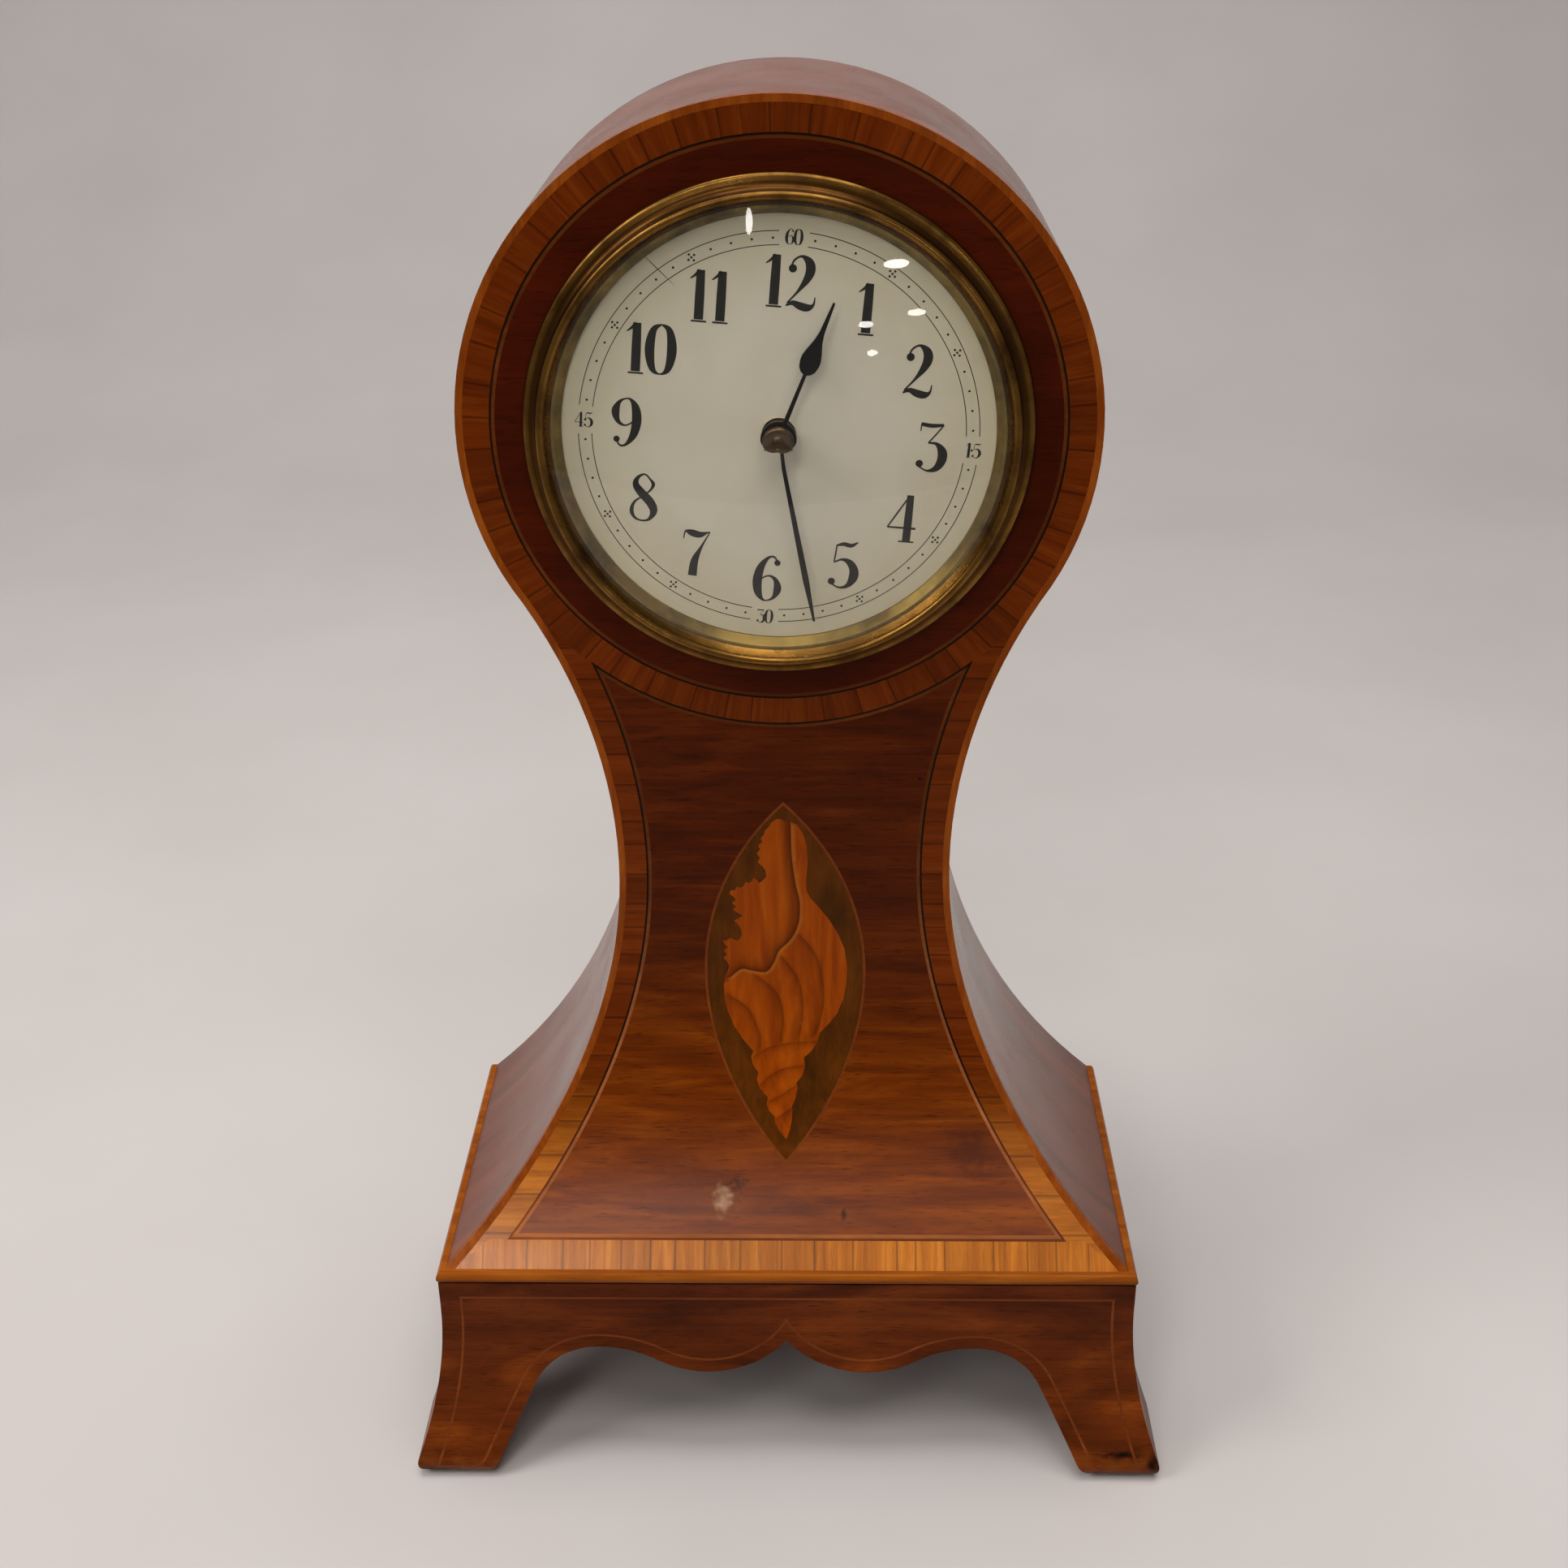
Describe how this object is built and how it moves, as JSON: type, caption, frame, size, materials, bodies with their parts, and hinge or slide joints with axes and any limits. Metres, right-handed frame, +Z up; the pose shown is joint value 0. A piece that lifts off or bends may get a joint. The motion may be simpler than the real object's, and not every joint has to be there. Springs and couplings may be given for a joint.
{
  "type": "drumhead mantel clock",
  "caption": "Balloon-shaped mantel clock: inlaid swept wooden case on a bracket-foot plinth, round glazed dial, turning hands, wound and set behind a hinged rear door.",
  "frame": {"origin": "on the table plane, under the centre of the clock's bounding box", "axes": "+Z up; -Y is the front, the side with the dial; +X is to the right seen from the front"},
  "size_m": [0.1534, 0.0844, 0.2695],
  "materials": {
    "mahogany": "French polished",
    "panel_mahogany": "French polished",
    "satinwood": "polished",
    "boxwood": "polished",
    "ebony": "polished",
    "green_stained_wood": "polished",
    "pine": "bare",
    "lacquered_brass": "aged lacquer",
    "movement_brass": "grained",
    "steel": "satin",
    "blued_steel": "blued nearly black",
    "bronze": "patinated",
    "enamel": "glossy",
    "glass": "clear"
  },
  "bodies": {
    "case": {"front_board": "mahogany", "side_band": "mahogany", "back_board": "mahogany", "base_board": "pine", "boxwood_edge": "boxwood", "crossbanding": "satinwood", "ebony_lines": "ebony", "boxwood_lines": "boxwood", "dial_surround": "mahogany", "waist_veneer": "panel_mahogany", "oval_border": "boxwood", "oval_ground": "green_stained_wood", "shell_inlay": "satinwood", "base_bead": "boxwood", "front_apron": "mahogany", "left_apron": "mahogany", "right_apron": "mahogany", "rear_rail": "mahogany", "apron_line": "boxwood", "corner_blocks": "pine", "plinth_screws": "steel", "drum_case": "lacquered_brass", "bezel": "lacquered_brass", "glass": "glass", "sight_ring": "lacquered_brass", "dial": "enamel", "rear_ring": "lacquered_brass", "clamp_screws": "steel", "hinge_pin": "steel", "front_plate": "movement_brass", "back_plate": "movement_brass", "pillars": "movement_brass", "click_spring": "steel", "platform": "movement_brass", "escape_potence": "movement_brass", "lever_bridge": "movement_brass", "hairspring": "blued_steel", "balance_cock": "movement_brass"},
    "hands": {"cannon_pinion": "steel", "minute_hand": "blued_steel", "hand_boss": "bronze"},
    "hour": {"hour_wheel": "movement_brass", "hour_hand": "blued_steel"},
    "setting": {"minute_wheel": "movement_brass", "set_knob": "lacquered_brass"},
    "fourth": {"fourth_wheel": "movement_brass"},
    "escape": {"escape_wheel": "steel"},
    "third": {"third_wheel": "movement_brass"},
    "centre": {"centre_wheel": "movement_brass"},
    "second": {"second_wheel": "movement_brass"},
    "barrel": {"barrel": "movement_brass", "barrel_cover": "movement_brass", "mainspring": "steel"},
    "winding": {"winding_arbor": "steel", "ratchet_wheel": "steel"},
    "click": {"click": "steel"},
    "lever": {"pallet_lever": "steel"},
    "balance": {"balance_wheel": "movement_brass"},
    "regulator": {"regulator": "steel"},
    "door": {"rear_door": "lacquered_brass"}
  },
  "joints": [
    {"name": "hands_turn", "type": "hinge", "parent": "case", "child": "hands", "pos_m": [0, 0.00997, 0.2135], "axis": [0, 1, 0], "continuous": true},
    {"name": "hour_turn", "type": "hinge", "parent": "case", "child": "hour", "pos_m": [0, 0.00997, 0.2135], "axis": [0, 1, 0], "continuous": true},
    {"name": "setting_turn", "type": "hinge", "parent": "case", "child": "setting", "pos_m": [-0.01391, 0.00997, 0.21723], "axis": [0, 1, 0], "continuous": true},
    {"name": "fourth_turn", "type": "hinge", "parent": "case", "child": "fourth", "pos_m": [-0.00245, 0.00997, 0.2305], "axis": [0, 1, 0], "continuous": true},
    {"name": "escape_turn", "type": "hinge", "parent": "case", "child": "escape", "pos_m": [-0.01041, 0.00997, 0.22761], "axis": [0, 1, 0], "continuous": true},
    {"name": "third_turn", "type": "hinge", "parent": "case", "child": "third", "pos_m": [0.00675, 0.00997, 0.22519], "axis": [0, 1, 0], "continuous": true},
    {"name": "centre_turn", "type": "hinge", "parent": "case", "child": "centre", "pos_m": [0, 0.00997, 0.2135], "axis": [0, 1, 0], "continuous": true},
    {"name": "second_turn", "type": "hinge", "parent": "case", "child": "second", "pos_m": [0.00704, 0.00997, 0.20198], "axis": [0, 1, 0], "continuous": true},
    {"name": "barrel_turn", "type": "hinge", "parent": "case", "child": "barrel", "pos_m": [-0.01078, 0.00997, 0.1981], "axis": [0, 1, 0], "continuous": true},
    {"name": "winding_turn", "type": "hinge", "parent": "case", "child": "winding", "pos_m": [-0.01078, 0.00997, 0.1981], "axis": [0, 1, 0], "range_deg": [0, 1440]},
    {"name": "click_lift", "type": "hinge", "parent": "case", "child": "click", "pos_m": [-0.0012, 0.00997, 0.20159], "axis": [0, 1, 0], "range_deg": [-4, 8]},
    {"name": "lever_swing", "type": "hinge", "parent": "case", "child": "lever", "pos_m": [-0.00541, 0.00997, 0.22761], "axis": [0, 1, 0], "range_deg": [-8, 8]},
    {"name": "balance_swing", "type": "hinge", "parent": "case", "child": "balance", "pos_m": [0.00099, 0.00997, 0.22761], "axis": [0, 1, 0], "range_deg": [-270, 270], "stiffness_Nm_per_rad": 0.000006},
    {"name": "regulator_set", "type": "hinge", "parent": "case", "child": "regulator", "pos_m": [0.00099, 0.00997, 0.22761], "axis": [0, 1, 0], "range_deg": [-20, 20]},
    {"name": "door_swing", "type": "hinge", "parent": "case", "child": "door", "pos_m": [-0.0426, 0.03987, 0.2135], "axis": [0, 0, 1], "range_deg": [0, 110]}
  ],
  "couplings": [
    {"joint": "hour_turn", "follows": "hands_turn", "ratio": 0.083333},
    {"joint": "setting_turn", "follows": "hands_turn", "ratio": -0.33333},
    {"joint": "escape_turn", "follows": "fourth_turn", "ratio": -10},
    {"joint": "third_turn", "follows": "fourth_turn", "ratio": -0.13333},
    {"joint": "centre_turn", "follows": "fourth_turn", "ratio": 0.016667},
    {"joint": "second_turn", "follows": "fourth_turn", "ratio": -0.0020833},
    {"joint": "barrel_turn", "follows": "fourth_turn", "ratio": 0.00029762}
  ]
}
